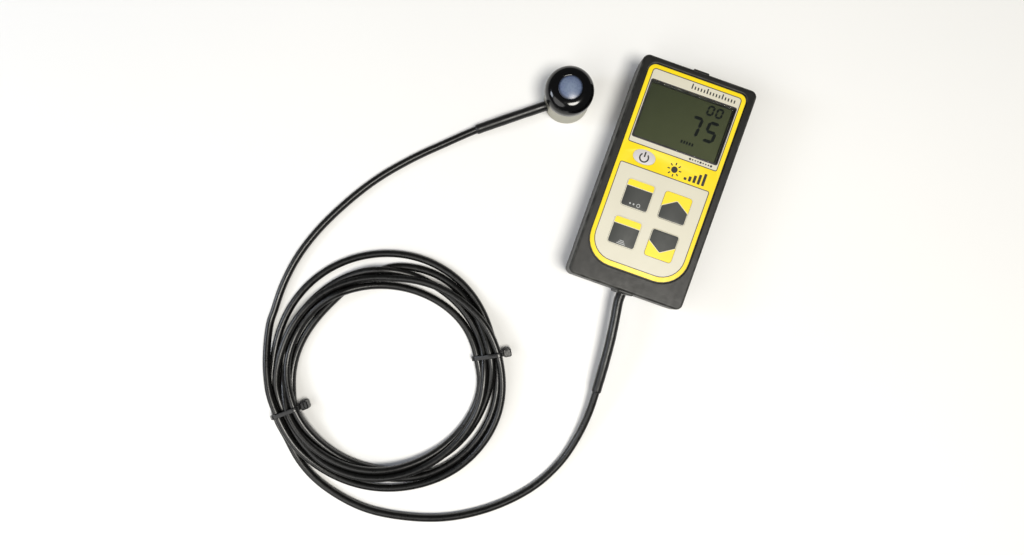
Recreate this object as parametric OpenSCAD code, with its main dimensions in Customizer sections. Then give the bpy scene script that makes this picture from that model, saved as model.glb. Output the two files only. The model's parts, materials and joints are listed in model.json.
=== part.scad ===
// Handheld digital light meter with a remote light sensor on a coiled cable.
// Millimetres. Origin: centre of the meter's rear resting face. +Z out of the
// front face, +Y towards the display end, +X to the right of the display.

/* [Meter case] */
// Length of the case along Y
case_l = 126; // [125:0.5:128]
// Width of the case along X, at the seam
case_w = 65.5; // [65:0.5:68]
// Thickness of the case from rear face to front face
case_t = 24; // [24:0.5:25]
// Wall thickness of both shells
wall = 2.2; // [2:0.1:2.4]
// Radius of the case corners seen from the front
corner_r = 4; // [3.5:0.5:5]
// How far the centre pad on each end wall stands out
pad_out = 0.8; // [0.5:0.1:1]

/* [Label and display] */
// Width of the printed label
label_w = 55.4; // [54:0.2:56]
// Top edge of the label
label_top = 58.8; // [57.5:0.1:59]
// Bottom edge of the label
label_bottom = -52; // [-53:0.5:-51]
// Radius of the label's bottom corners
label_bottom_r = 15; // [12:1:16]
// Width of the clear display window
window_w = 48; // [46:0.5:49]
// Height of the clear display window
window_l = 32; // [30:0.5:33]
// Centre of the display window along Y
window_y = 34.4; // [34:0.1:35]

/* [Keys] */
// Side of the four square keys
key_side = 15.4; // [14.5:0.1:15.6]
// Width of the oval power key
power_w = 12.4; // [11.5:0.1:13]
// How far a key travels
key_travel = 0.3; // [0.2:0.05:0.35]
// Radius of a key's plunger
plunger_r = 1.5; // [1.2:0.1:1.6]

/* [Battery bay] */
// Width of the battery cover
cover_w = 36; // [35:0.5:37]
// Length of the battery cover
cover_l = 40; // [40:0.5:41]
// Radius of the coin cell
cell_r = 11.5; // [11:0.1:11.6]
// Thickness of the coin cell
cell_t = 2; // [1.6:0.1:2.2]

/* [Cable] */
// Diameter of the cable
cable_d = 4.2; // [4:0.1:4.4]
// Outer diameter of the shrink sleeves at both ends
sleeve_d = 5.5; // [5.3:0.1:5.8]
// Inner radius of the coil
coil_in = 50; // [49:0.5:51]
// Outer radius of the coil
coil_out = 70; // [69:0.5:71]
// Height of the coil
coil_h = 8.4; // [8:0.2:9]

/* [Sensor head] */
// Radius of the sensor's metal body
body_r = 13; // [12.8:0.1:13.2]
// Radius of the sensor's black cap
cap_r = 13.5; // [13.4:0.1:13.8]
// Height of the sensor head over its diffuser
head_h = 27.5; // [27:0.5:28.5]
// Radius of the white diffuser
diffuser_r = 6.6; // [6.4:0.1:6.8]

/* [Hidden] */

$fn = 48;
hull_fn = 32;
eps = 0.01;
fit = 0.2;          // gap round a loose part
snug = 0.02;        // gap in a tight fit

// Height levels of the case
seam_z = case_t / 2;
label_floor = case_t - 1;
roof_z = case_t - 2.6;
label_t = 0.5;
ledge_z = roof_z + 0.9;
board_t = 1.6;
board_z = case_t - 10.8;
board_top = board_z + board_t;
dome_h = 0.9;
film_t = 0.3;
film_z = label_floor + 0.35;
groove = 0.35;      // half height of the shadow line along the seam
EDGE_STEPS = [[1.6, 0.6], [0.5, 1.4], [eps, 2.8]];      // rounding of a face: depth, narrowing
end_pad_w = 9;

// Fastening points, one per quadrant by mirroring X
case_boss = [case_w / 2 - 6.2, case_l / 2 - 6.5];
boss_r = 3.6;
boss_pilot_r = 1.3;
case_screw_seat = 2.4;
board_boss = [27.2, [12.5, -48]];
board_boss_r = 2.4;
board_pilot_r = 0.9;
pilot_top = 20;

// Main board: a full-width part and a narrower tongue past the upper case bosses
board_w = 58;
board_y = [-52, 52];
tongue_w = 43;
tongue_y = 57.5;

// Chips and passive parts on the rear of the board: centre, size
CHIPS = concat(
    [[[0, 30], [12, 12, 1.4]], [[-15, 12], [6, 5, 1.5]], [[15, 12], [6, 5, 1.5]],
     [[16, 30], [8, 3.6, 2.6]]],
    [for (i = [0:5]) [[-20 + 8 * i, 44], [2, 1.2, 0.8]]],
    [for (i = [0:3]) [[-21, 36 - 5 * i], [1.2, 2, 0.8]]]);

// Display cell behind the window
lcd_w = 49.6;
lcd_l = 34;
lcd_t = 2.6;
strip_h = 3.6;
strip_y = 15;

// Outlines on the front
label_top_r = 4;
power_at = [-14, 9.2];
power_l = 7.8;
key_left = -10.35;
key_right = 10.85;
key_upper = -11.35;
key_lower = -32.6;
key_r = 1.6;
KEYS_AT = [
    [key_left, key_upper], [key_left, key_lower],
    [key_right, key_upper], [key_right, key_lower]
];

// Battery bay
cover_at = [0, -27];
cover_t = 2;
cover_z = 0.3;
ledge_t = 1.5;
cell_at = [0, -24.2];
cell_z = 5.6;
holder_r = cell_r + 2.1;
bay_w = 30;
bay_l = 28.6;
cover_screw_at = [0, cover_at.y - cover_l / 2 + 4];
cover_screw_boss = [3.2, 9];    // radius, top

// Cable exit of the meter
exit_x = 1;
exit_z = seam_z;
exit_y = -case_l / 2 - pad_out;
cable_r = cable_d / 2;
grommet_r = 3.4;
wall_inner_y = -case_l / 2 + wall;
lead_gap = 0.2;     // from the grommet's face to the start of the free lead
clamp_y = -56.5;
clamp_size = [15, 3.8, 3.6];
clamp_screw_x = 5;
tail_end_y = -53.4;

// Sensor head
head_at = [-64, 30.5];
port_angle = 218;
port_z = 5.2;
body_h = 17.5;
spigot_r = body_r - 1.2;
spigot_top = 20.5;
cavity_r = 9.9;
cavity_z = 8;
cap_top = head_h - 1.3;
cap_shoulder_r = 6.4;
cap_bore_r = 8.6;
flange_z = 22;          // underside of the diffuser's flange, on top of the filter
flange_t = 1.5;
filter_t = 1.6;
sensor_board_z = 14;
sensor_board_t = 1.3;
seal_r = 3.4;
seal_depth = 2.2;
sensor_wire_r = 0.5;
sensor_wire_at = 7;     // distance of the wires from the head's axis
thread_r = 2;
thread_l = 6;

// Free cable routes, laid over the table from each exit to the coil
METER_LEAD = [
    [exit_x, exit_y - lead_gap, exit_z], [exit_x, -69, 12], [2.6, -79, 11.9], [4.4, -92, 11.2],
    [5.8, -106, 9.8], [7, -121, 7.8], [7.6, -134, 5.8], [6.4, -149, 3.8], [2, -167, 2.4], [-8.4, -186, 2.1],
    [-26, -204, 2.1], [-48, -218, 2.1], [-72, -226, 2.1], [-96, -229, 2.1],
    [-120, -225, 2.1], [-138, -216.5, 2.1], [-153, -203, 2.1]
];
SENSOR_LEAD = [
    [-74.4, 22.4, 5.2], [-82, 16.4, 5.2], [-94.5, 6.6, 4.8], [-107, -3.2, 3.8],
    [-121, -16, 2.6], [-136.5, -31, 2.1], [-151.6, -48.8, 2.1], [-164, -68.4, 2.1],
    [-174, -89, 2.1], [-180, -109, 2.1], [-182, -130, 2.1], [-180, -150, 2.1],
    [-174, -169, 2.1]
];
meter_sleeve_points = 6;
sensor_sleeve_points = 4;
coil_at = [-108, -152];
tie_left_angle = 220;
tie_right_angle = 30;
tie_w = 2.6;
tie_t = 1.1;
tie_head = [4.4, 4.8, 5.2];
tie_head_z = 1.2;

case_colour = [0.14, 0.14, 0.13];
key_colour = [0.24, 0.25, 0.25];
cable_colour = [0.1, 0.1, 0.11];
steel = [0.75, 0.76, 0.78];

// A rectangle with round corners, about its centre
module rounded(w, l, r) {
    square([w - 2 * r, l], center = true);
    square([w, l - 2 * r], center = true);
    for (x = [-1, 1], y = [-1, 1])
        translate([x * (w / 2 - r), y * (l / 2 - r)]) circle(r);
}

module plate(w, l, r, t) {
    linear_extrude(t) rounded(w, l, r);
}

// Outline of the label: small top corners, wide round bottom corners
module label_outline(grow) {
    half = label_w / 2 + grow;
    top = label_top + grow;
    bottom = label_bottom - grow;
    rt = label_top_r + grow;
    rb = label_bottom_r + grow;
    translate([-half + rb, bottom]) square([2 * (half - rb), rb]);
    translate([-half, bottom + rb]) square([2 * half, top - bottom - rb - rt]);
    translate([-half + rt, top - rt]) square([2 * (half - rt), rt]);
    for (x = [-1, 1]) {
        translate([x * (half - rb), bottom + rb]) circle(rb);
        translate([x * (half - rt), top - rt]) circle(rt);
    }
}

// Outer form of half the case, from the seam at z = 0 to its face at z = h
module shell_form(h) {
    hull() {
        translate([0, 0, groove])
            linear_extrude(eps) rounded(case_w, case_l, corner_r, $fn = hull_fn);
        for (step = EDGE_STEPS) translate([0, 0, h - step[0]]) linear_extrude(eps)
            rounded(case_w - step[1], case_l - step[1], corner_r, $fn = hull_fn);
    }
    plate(case_w - 2 * groove, case_l - 2 * groove, corner_r, 1);
    end_pad(exit_x, -1, h);
    end_pad(0, 1, h);
}

// Pad on the end wall, centred at x, on the bottom (-1) or top (1) end
module end_pad(x, end, h) {
    depth = 2 + pad_out;
    translate([x - end_pad_w / 2, end * (case_l / 2 + pad_out) - (end > 0 ? depth : 0), groove])
        cube([end_pad_w, depth, h - 1.4]);
}

module at_case_bosses() {
    for (x = [-1, 1], y = [-1, 1])
        translate([x * case_boss.x, y * case_boss.y, 0]) children();
}

module at_board_bosses() {
    for (x = [-1, 1], y = board_boss.y)
        translate([x * board_boss.x, y, 0]) children();
}

module at_keys() {
    for (at = KEYS_AT) translate([at.x, at.y, 0]) children();
}

// Cross-head screw pointing along +Z, its head's underside at z = 0
module screw(head_r, head_h, shank_r, length) {
    difference() {
        union() {
            translate([0, 0, -head_h]) cylinder(h = head_h, r = head_r);
            cylinder(h = length, r = shank_r);
        }
        for (a = [0, 90]) rotate(a)
            translate([0, 0, -head_h]) cube([head_r * 1.2, head_r * 0.28, head_h], center = true);
    }
}

// Round hole for the cable grommet, along Y through the bottom end wall
module exit_bore(r, from_y, to_y) {
    translate([exit_x, to_y, exit_z]) rotate([90, 0, 0]) cylinder(h = to_y - from_y, r = r);
}

// The hole that the grommet fills in the end wall
module grommet_bore(grow) {
    exit_bore(grommet_r + grow, -case_l / 2 - 3, wall_inner_y + 1);
}

function along(p0, p1, p2, p3, t) =
    0.5 * (2 * p1 + (p2 - p0) * t + (2 * p0 - 5 * p1 + 4 * p2 - p3) * t * t
    + (3 * p1 - p0 - 3 * p2 + p3) * t * t * t);

// Smooth line through the points, with one extra point halfway between each two
function smooth(pts) = concat(
    [for (i = [0:len(pts) - 2], t = [0, 0.5])
        along(pts[max(i - 1, 0)], pts[i], pts[i + 1], pts[min(i + 2, len(pts) - 1)], t)],
    [pts[len(pts) - 1]]);

function first(pts, n) = [for (i = [0:n - 1]) pts[i]];
function unit(v) = v / norm(v);
function heading(line, i) = unit(line[min(i + 1, len(line) - 1)] - line[max(i - 1, 0)]);

// Round tube of radius r swept along a line of points
module tube(line, r, sides) {
    rings = len(line);
    points = [for (i = [0:rings - 1], k = [0:sides - 1])
        let (
            ahead = heading(line, i),
            side = unit(cross(ahead, [0, 0, 1])),
            up = cross(side, ahead),
            a = 360 * (k + 0.5) / sides
        )
        line[i] + r * (cos(a) * side + sin(a) * up)];
    walls = [for (i = [0:rings - 2], k = [0:sides - 1])
        let (n = (k + 1) % sides)
        [i * sides + k, i * sides + n, (i + 1) * sides + n, (i + 1) * sides + k]];
    start = [for (k = [sides - 1:-1:0]) k];
    finish = [for (k = [0:sides - 1]) (rings - 1) * sides + k];
    polyhedron(points = points, faces = concat(walls, [start, finish]), convexity = 8);
}

module front_shell() {
    color(case_colour) {
        difference() {
            translate([0, 0, seam_z]) shell_form(case_t - seam_z);
            translate([0, 0, seam_z - 1])
                plate(case_w - 2 * wall, case_l - 2 * wall, corner_r - 2, roof_z - seam_z + 1);
            translate([0, 0, label_floor]) linear_extrude(2) label_outline(0.7);
            translate([0, window_y, ledge_z])
                plate(window_w + 2 * fit, window_l + 2 * fit, 1, 3);
            translate([0, window_y, roof_z - 1]) plate(window_w - 1.6, window_l - 1.6, 0.8, 3);
            at_keys() translate([0, 0, roof_z - 1]) cylinder(h = 3, r = plunger_r + 0.3);
            translate([power_at.x, power_at.y, roof_z - 1])
                cylinder(h = 3, r = plunger_r + 0.3);
            grommet_bore(0);
        }
        at_case_bosses() boss(seam_z, roof_z + 0.1, boss_r, boss_pilot_r);
        at_board_bosses() boss(board_top, roof_z + 0.1, board_boss_r, board_pilot_r);
    }
}

// Screw boss from z = low to z = high, with a pilot hole that is open at the bottom
module boss(low, high, r, pilot_r) {
    difference() {
        translate([0, 0, low]) cylinder(h = high - low, r = r);
        translate([0, 0, low - 1]) cylinder(h = pilot_top - low + 1, r = pilot_r);
    }
}

module rear_shell() {
    color(case_colour) difference() {
        union() {
            difference() {
                translate([0, 0, seam_z]) mirror([0, 0, 1]) shell_form(seam_z);
                translate([0, 0, wall])
                    plate(case_w - 2 * wall, case_l - 2 * wall, corner_r - 2, seam_z);
            }
            at_case_bosses() translate([0, 0, wall - 0.1])
                cylinder(h = seam_z - wall + 0.1, r = boss_r);
            translate([cover_at.x, cover_at.y, wall - 0.1])
                plate(cover_w + 4, cover_l + 4, 4, cover_z + cover_t + ledge_t - wall + 0.1);
            translate([cover_screw_at.x, cover_screw_at.y, wall - 0.1])
                cylinder(h = cover_screw_boss[1] - wall, r = cover_screw_boss[0]);
            translate([exit_x - clamp_size.x / 2, clamp_y - clamp_size.y / 2, wall - 0.1])
                cube([clamp_size.x, clamp_size.y, seam_z - wall + 0.1]);
        }
        at_case_bosses() translate([0, 0, -1]) cylinder(h = case_screw_seat + 1, r = 2.9);
        at_case_bosses() translate([0, 0, -1]) cylinder(h = seam_z + 2, r = 1.6);
        translate([cover_at.x, cover_at.y, -1])
            plate(cover_w + 2 * fit, cover_l + 2 * fit, 3 + fit, cover_z + cover_t + 1);
        translate([cell_at.x, cell_at.y, -1]) plate(bay_w, bay_l, 3, 10);
        translate([cover_screw_at.x, cover_screw_at.y, 0])
            cylinder(h = cover_screw_boss[1] - 0.6, r = 1.3);
        grommet_bore(0);
        exit_bore(cable_r + snug, clamp_y - 3, clamp_y + 3);
        at_clamp_screws() translate([0, 0, 5]) cylinder(h = 10, r = 0.8);
        gasket_ring(0);
    }
}

// The gasket's ring in the rim of the rear shell
module gasket_ring(gap) {
    difference() {
        translate([0, 0, seam_z - 1]) difference() {
            plate(case_w - 1.6 - gap, case_l - 1.6 - gap, corner_r - 0.8, 1);
            translate([0, 0, -1]) plate(case_w - 3 + gap, case_l - 3 + gap, corner_r - 1.5, 3);
        }
        grommet_bore(1);
    }
}

module shell_gasket() {
    color([0.3, 0.3, 0.32]) gasket_ring(snug);
}

module case_screws() {
    color(steel) at_case_bosses() translate([0, 0, case_screw_seat])
        screw(2.6, 1.5, boss_pilot_r - snug, 16);
}

module battery_cover() {
    color(case_colour) difference() {
        translate([cover_at.x, cover_at.y, cover_z]) plate(cover_w, cover_l, 3, cover_t);
        translate([cover_screw_at.x, cover_screw_at.y, cover_z - 1]) cylinder(h = 2.2, r = 2.6);
        translate([cover_screw_at.x, cover_screw_at.y, 0]) cylinder(h = 4, r = 1.3);
        for (i = [0:4])
            translate([-7, cover_at.y + cover_l / 2 - 6 - 2 * i, cover_z - 0.5]) cube([14, 0.9, 0.9]);
    }
}

module battery_cover_screw() {
    color(steel) translate([cover_screw_at.x, cover_screw_at.y, cover_z + 1.2])
        screw(2.4, 1, 1.2, 6);
}

module battery_holder() {
    color("ivory") translate([cell_at.x, cell_at.y, 0]) difference() {
        translate([0, 0, cell_z - 0.6]) cylinder(h = board_z - cell_z + 0.6, r = holder_r);
        translate([0, 0, cell_z - 1]) cylinder(h = cell_t + 1.2, r = cell_r + fit);
        translate([0, 0, cell_z + cell_t + 1.6]) cylinder(h = board_z, r = cell_r + 0.5);
        cylinder(h = board_z, r = 0.8);
    }
}

module coin_cell() {
    color(steel) translate([cell_at.x, cell_at.y, cell_z]) {
        cylinder(h = cell_t - 0.3, r = cell_r);
        cylinder(h = cell_t, r = cell_r - 1.2);
    }
}

module battery_contact() {
    color("gold") translate([cell_at.x, cell_at.y, cell_z + cell_t]) {
        cylinder(h = 0.2 - snug, r = 4);
        cylinder(h = board_z - cell_z - cell_t, r = 0.6);
    }
}

module label_overlay() {
    color([1, 0.88, 0.12]) translate([0, 0, label_floor]) difference() {
        linear_extrude(label_t) label_outline(0);
        translate([0, window_y, -1]) plate(window_w + 2 * fit, window_l + 2 * fit, 1, 3);
        at_keys() translate([0, 0, -1]) plate(key_side + 2 * fit, key_side + 2 * fit, key_r + fit, 3);
        translate([power_at.x, power_at.y, -1]) linear_extrude(3) oval(fit);
    }
}

// Oval of the power key: a stadium-like shape of four arcs
module oval(grow) {
    end_r = power_l / 2 - 0.6;
    side_r = power_w * 0.95;
    intersection() {
        square([power_w + 2 * grow, power_l + 2 * grow], center = true);
        intersection_for (y = [-1, 1])
            translate([0, y * (side_r - power_l / 2)]) circle(side_r + grow, $fn = 96);
        union() {
            for (x = [-1, 1])
                translate([x * (power_w / 2 - end_r), 0]) circle(end_r + grow);
            square([power_w - 2 * end_r, power_l * 2], center = true);
        }
    }
}

module display_window() {
    color([0.8, 0.85, 0.85, 0.5]) translate([0, window_y, ledge_z])
        plate(window_w, window_l, 0.8, 1);
}

module lcd_glass() {
    color([0.36, 0.4, 0.28]) translate([0, window_y, board_top + strip_h])
        plate(lcd_w, lcd_l, 0.3, lcd_t);
}

module lcd_holder() {
    color([0.2, 0.2, 0.2]) translate([0, window_y, board_top]) difference() {
        plate(lcd_w + 2.8, lcd_l + 2.6, 1, strip_h + lcd_t + fit);
        translate([0, 0, -1]) plate(lcd_w + fit, lcd_l + fit, 0.3, 9);
    }
}

module elastomer_strips() {
    color([0.85, 0.5, 0.55]) for (y = [-1, 1])
        translate([-23, window_y + y * strip_y - 1, board_top]) cube([46, 2, strip_h]);
}

module plunger() {
    translate([0, 0, board_top + dome_h])
        cylinder(h = film_z - board_top - dome_h + 0.1, r = plunger_r);
}

module square_key(at) {
    color(key_colour) translate([at.x, at.y, 0]) {
        translate([0, 0, film_z]) plate(key_side, key_side, key_r, film_t);
        plunger();
    }
}

module key_power() {
    color([0.93, 0.9, 0.95]) translate([power_at.x, power_at.y, 0]) {
        translate([0, 0, film_z]) linear_extrude(film_t) oval(0);
        plunger();
    }
}

module key_sample() { square_key(KEYS_AT[0]); }
module key_mode() { square_key(KEYS_AT[1]); }
module key_up() { square_key(KEYS_AT[2]); }
module key_down() { square_key(KEYS_AT[3]); }

// Snap dome under a key's plunger
module dome(at) {
    color(steel) translate([at.x, at.y, board_top]) cylinder(h = dome_h, r1 = 3, r2 = 1.8);
}

module dome_power() { dome(power_at); }
module dome_sample() { dome(KEYS_AT[0]); }
module dome_mode() { dome(KEYS_AT[1]); }
module dome_up() { dome(KEYS_AT[2]); }
module dome_down() { dome(KEYS_AT[3]); }

module main_board() {
    color([0.1, 0.4, 0.25]) difference() {
        translate([0, 0, board_z]) linear_extrude(board_t) {
            translate([-board_w / 2, board_y[0]]) square([board_w, board_y[1] - board_y[0]]);
            translate([-tongue_w / 2, board_y[1] - 1]) square([tongue_w, tongue_y - board_y[1] + 1]);
        }
        at_board_bosses() translate([0, 0, board_z - 1]) cylinder(h = 4, r = 1.1);
    }
}

module board_components() {
    color([0.16, 0.16, 0.18]) for (chip = CHIPS) {
        at = chip[0];
        size = chip[1];
        translate([at.x - size.x / 2, at.y - size.y / 2, board_z - size.z]) cube(size);
    }
}

module board_screws() {
    color(steel) at_board_bosses() translate([0, 0, board_z]) screw(1.9, 1.1, 0.88, 6);
}

module cable_grommet() {
    color(cable_colour) difference() {
        union() {
            exit_bore(grommet_r - snug, exit_y, wall_inner_y);
            exit_bore(grommet_r + 1.2, wall_inner_y, wall_inner_y + 1.4);
        }
        exit_bore(cable_r + snug, exit_y - 1, wall_inner_y + 3);
    }
}

module cable_tail() {
    color(cable_colour) exit_bore(cable_r, exit_y, tail_end_y);
}

module cable_clamp() {
    color("ivory") difference() {
        translate([exit_x - clamp_size.x / 2, clamp_y - clamp_size.y / 2, exit_z]) cube(clamp_size);
        exit_bore(cable_r + snug, clamp_y - 3, clamp_y + 3);
        at_clamp_screws() translate([0, 0, exit_z - 1]) cylinder(h = 6, r = 0.9);
    }
}

module at_clamp_screws() {
    for (x = [-1, 1]) translate([exit_x + x * clamp_screw_x, clamp_y, 0]) children();
}

module clamp_screws() {
    color(steel) at_clamp_screws()
        translate([0, 0, exit_z + clamp_size.z]) rotate([180, 0, 0]) screw(1.7, 1, 0.78, 9);
}

// Three wires from the cable's end to the rear side of the board
module signal_wires() {
    wire_r = 0.45;
    run = 3.6;
    color("orangered") for (i = [-1:1])
        translate([exit_x + 1.2 * i, tail_end_y, exit_z - 0.6]) {
            rotate([-90, 0, 0]) cylinder(h = run, r = wire_r);
            translate([0, run, 0]) sphere(wire_r);
            translate([0, run, 0]) cylinder(h = board_z - exit_z + 0.6, r = wire_r);
        }
}

// Hollow shrink sleeve over the first part of a lead
module sleeve(line) {
    last = len(line) - 1;
    past_ends = concat([line[0] - heading(line, 0)], line, [line[last] + heading(line, last)]);
    difference() {
        tube(line, sleeve_d / 2, 12);
        tube(past_ends, cable_r + snug, 12);
    }
}

module meter_sleeve() {
    color(cable_colour) sleeve(smooth(first(METER_LEAD, meter_sleeve_points)));
}

module meter_lead() {
    color(cable_colour) tube(smooth(METER_LEAD), cable_r, 10);
}

module sensor_lead() {
    color(cable_colour) tube(smooth(SENSOR_LEAD), cable_r, 10);
}

module sensor_sleeve() {
    color(cable_colour) sleeve(smooth(first(SENSOR_LEAD, sensor_sleeve_points)));
}

// Outer form of the coil's turns, with a groove under each tie
module cable_coil() {
    color(cable_colour) translate([coil_at.x, coil_at.y, 0]) difference() {
        rotate_extrude($fn = 96) translate([(coil_in + coil_out) / 2, coil_h / 2])
            rounded(coil_out - coil_in, coil_h, 3.2);
        for (a = [tie_left_angle, tie_right_angle]) rotate(a)
            translate([coil_in - 1, -tie_w / 2, -1]) cube([coil_out - coil_in + 2, tie_w, tie_t + 1]);
    }
}

// Cable tie round the coil at an angle, its head beside radius head_from
module tie(angle, head_from) {
    color([0.08, 0.08, 0.08]) translate([coil_at.x, coil_at.y, 0]) rotate(angle) {
        difference() {
            translate([coil_in - tie_t, -tie_w / 2, 0])
                cube([coil_out - coil_in + 2 * tie_t, tie_w, coil_h + tie_t]);
            translate([coil_in, -tie_w, tie_t])
                cube([coil_out - coil_in, 2 * tie_w, coil_h - tie_t]);
        }
        translate([head_from, -tie_head.y / 2, tie_head_z]) cube(tie_head);
    }
}

module tie_left() { tie(tie_left_angle, coil_in - tie_t + 0.1 - tie_head.x); }
module tie_right() { tie(tie_right_angle, coil_out + tie_t - 0.1); }

module at_head() {
    translate([head_at.x, head_at.y, 0]) children();
}

// A cylinder lying along the sensor's cable port, from radius r1 to radius r2
module port_bore(r, r1, r2) {
    translate([0, 0, port_z]) rotate([0, 90, port_angle])
        translate([0, 0, r1]) cylinder(h = r2 - r1, r = r);
}

module sensor_body() {
    color([0.72, 0.7, 0.62]) at_head() difference() {
        union() {
            translate([0, 0, 0.6]) cylinder(h = body_h - 0.6, r = body_r);
            cylinder(h = 0.6, r1 = body_r - 0.6, r2 = body_r);
            cylinder(h = spigot_top, r = spigot_r);
        }
        translate([0, 0, -1]) cylinder(h = thread_l + 1, r = thread_r);
        translate([0, 0, cavity_z]) cylinder(h = spigot_top, r = cavity_r);
        port_bore(cable_r + snug, 4.8, body_r + 2);
        port_bore(seal_r, body_r - seal_depth, body_r + 2);
        rotate(port_angle) translate([sensor_wire_at, 0, port_z])
            cylinder(h = cavity_z, r = cable_r + snug);
    }
}

module sensor_cable_seal() {
    color(cable_colour) at_head() difference() {
        intersection() {
            port_bore(seal_r - snug, body_r - seal_depth + snug, body_r + 2);
            cylinder(h = body_h, r = body_r);
        }
        port_bore(cable_r + snug, 4, body_r + 3);
    }
}

module sensor_cable_tail() {
    color(cable_colour) at_head() port_bore(cable_r, 5, body_r + 0.14);
}

// Black domed cap: a skirt over the body's spigot and a round shoulder to the diffuser
module sensor_cap() {
    inner_r = diffuser_r + snug;
    shoulder_at = [cap_r - cap_shoulder_r, cap_top - cap_shoulder_r];
    color([0.05, 0.05, 0.06]) at_head() rotate_extrude($fn = 96) difference() {
        union() {
            translate([inner_r, body_h]) square([cap_r - inner_r, shoulder_at.y - body_h]);
            translate([inner_r, body_h]) square([shoulder_at.x - inner_r, cap_top - body_h]);
            intersection() {
                translate(shoulder_at) circle(cap_shoulder_r);
                translate([inner_r, body_h]) square([cap_r, cap_top]);
            }
        }
        translate([0, body_h - 1]) square([spigot_r + snug, spigot_top - body_h + 1 + snug]);
        translate([0, body_h]) square([cap_bore_r, flange_z + flange_t - body_h]);
    }
}

// Opal disc with a slight dome, held by a flange under the cap
module diffuser() {
    crown = 1;
    dome_r = (diffuser_r * diffuser_r + crown * crown) / (2 * crown);
    color([0.93, 0.95, 0.98]) at_head() {
        translate([0, 0, flange_z]) cylinder(h = flange_t - snug, r = cap_bore_r - 0.1);
        intersection() {
            translate([0, 0, flange_z]) cylinder(h = head_h - flange_z, r = diffuser_r);
            translate([0, 0, head_h - dome_r]) sphere(dome_r, $fn = 96);
        }
    }
}

module optical_filter() {
    color([0.3, 0.6, 0.75, 0.7]) at_head()
        translate([0, 0, flange_z - filter_t]) cylinder(h = filter_t, r = 6);
}

module photodiode() {
    foot = sensor_board_z + sensor_board_t;
    color("gold") at_head() translate([0, 0, foot]) {
        cylinder(h = 0.6, r = 4.6);
        cylinder(h = flange_z - filter_t - foot, r = 4);
    }
}

module sensor_board() {
    color([0.1, 0.4, 0.25]) at_head()
        translate([0, 0, sensor_board_z]) cylinder(h = sensor_board_t, r = cavity_r - 0.5);
}

module at_sensor_wires() {
    at_head() rotate(port_angle) for (y = [-1, 1]) translate([sensor_wire_at, y, 0]) children();
}

module sensor_wires() {
    foot = port_z + cable_r;
    color("orangered") at_sensor_wires()
        translate([0, 0, foot]) cylinder(h = sensor_board_z - foot, r = sensor_wire_r);
}

module sensor_potting() {
    color([0.2, 0.2, 0.22]) difference() {
        at_head() translate([0, 0, cavity_z])
            cylinder(h = sensor_board_z - cavity_z, r = cavity_r - snug);
        at_sensor_wires() cylinder(h = head_h, r = sensor_wire_r + snug);
    }
}

front_shell();
rear_shell();
shell_gasket();
case_screws();
battery_cover();
battery_cover_screw();
battery_holder();
coin_cell();
battery_contact();
label_overlay();
display_window();
lcd_glass();
lcd_holder();
elastomer_strips();
key_power();
key_sample();
key_mode();
key_up();
key_down();
dome_power();
dome_sample();
dome_mode();
dome_up();
dome_down();
main_board();
board_components();
board_screws();
cable_grommet();
cable_tail();
cable_clamp();
clamp_screws();
signal_wires();
meter_sleeve();
meter_lead();
cable_coil();
tie_left();
tie_right();
sensor_lead();
sensor_sleeve();
sensor_cable_seal();
sensor_cable_tail();
sensor_body();
sensor_cap();
diffuser();
optical_filter();
photodiode();
sensor_board();
sensor_wires();
sensor_potting();
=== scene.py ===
"""Looks of a handheld light meter with a remote sensor head on a coiled cable.

Lengths are millimetres in the row frame, and MM turns them into metres. The floor and the lights are
in metres, and a texture's scale is in features per metre.
"""

import json
import math

import bmesh
import bpy
import numpy as np
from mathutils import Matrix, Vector


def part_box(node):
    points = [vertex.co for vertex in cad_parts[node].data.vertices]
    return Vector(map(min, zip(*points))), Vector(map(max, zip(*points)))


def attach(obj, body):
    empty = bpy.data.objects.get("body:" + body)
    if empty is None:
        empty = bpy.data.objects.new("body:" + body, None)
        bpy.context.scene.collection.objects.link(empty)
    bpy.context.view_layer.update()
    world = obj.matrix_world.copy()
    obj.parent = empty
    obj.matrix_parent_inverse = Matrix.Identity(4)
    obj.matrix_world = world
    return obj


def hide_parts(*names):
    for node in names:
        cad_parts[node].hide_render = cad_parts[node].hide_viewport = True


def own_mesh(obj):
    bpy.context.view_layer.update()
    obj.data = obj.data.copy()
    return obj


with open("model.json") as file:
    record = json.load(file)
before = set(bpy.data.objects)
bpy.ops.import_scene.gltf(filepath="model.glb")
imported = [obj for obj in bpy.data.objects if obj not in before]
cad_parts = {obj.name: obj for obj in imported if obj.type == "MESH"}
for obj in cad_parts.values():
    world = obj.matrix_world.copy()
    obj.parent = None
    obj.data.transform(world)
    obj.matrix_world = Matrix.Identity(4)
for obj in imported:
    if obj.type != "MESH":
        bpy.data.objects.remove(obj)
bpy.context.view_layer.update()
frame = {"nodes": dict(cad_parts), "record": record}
MM = 0.001


def box_mm(node):
    """Lowest and highest corner of a CAD node, in millimetres."""
    low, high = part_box(node)
    return np.array(low) / MM, np.array(high) / MM


# ---------------------------------------------------------------- camera

VIEW_ROLL = math.radians(19.6)
EYE = (-59.42, -75.86, 354.0)
LENS = 21.54


def add_camera():
    data = bpy.data.cameras.new("camera")
    data.lens = LENS
    data.sensor_width = 36
    data.clip_start = 0.01
    data.clip_end = 20
    camera = bpy.data.objects.new("camera", data)
    camera.location = Vector(EYE) * MM
    camera.rotation_euler = (0, 0, VIEW_ROLL)
    bpy.context.scene.collection.objects.link(camera)
    bpy.context.scene.camera = camera


add_camera()

# ---------------------------------------------------------------- materials


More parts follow.
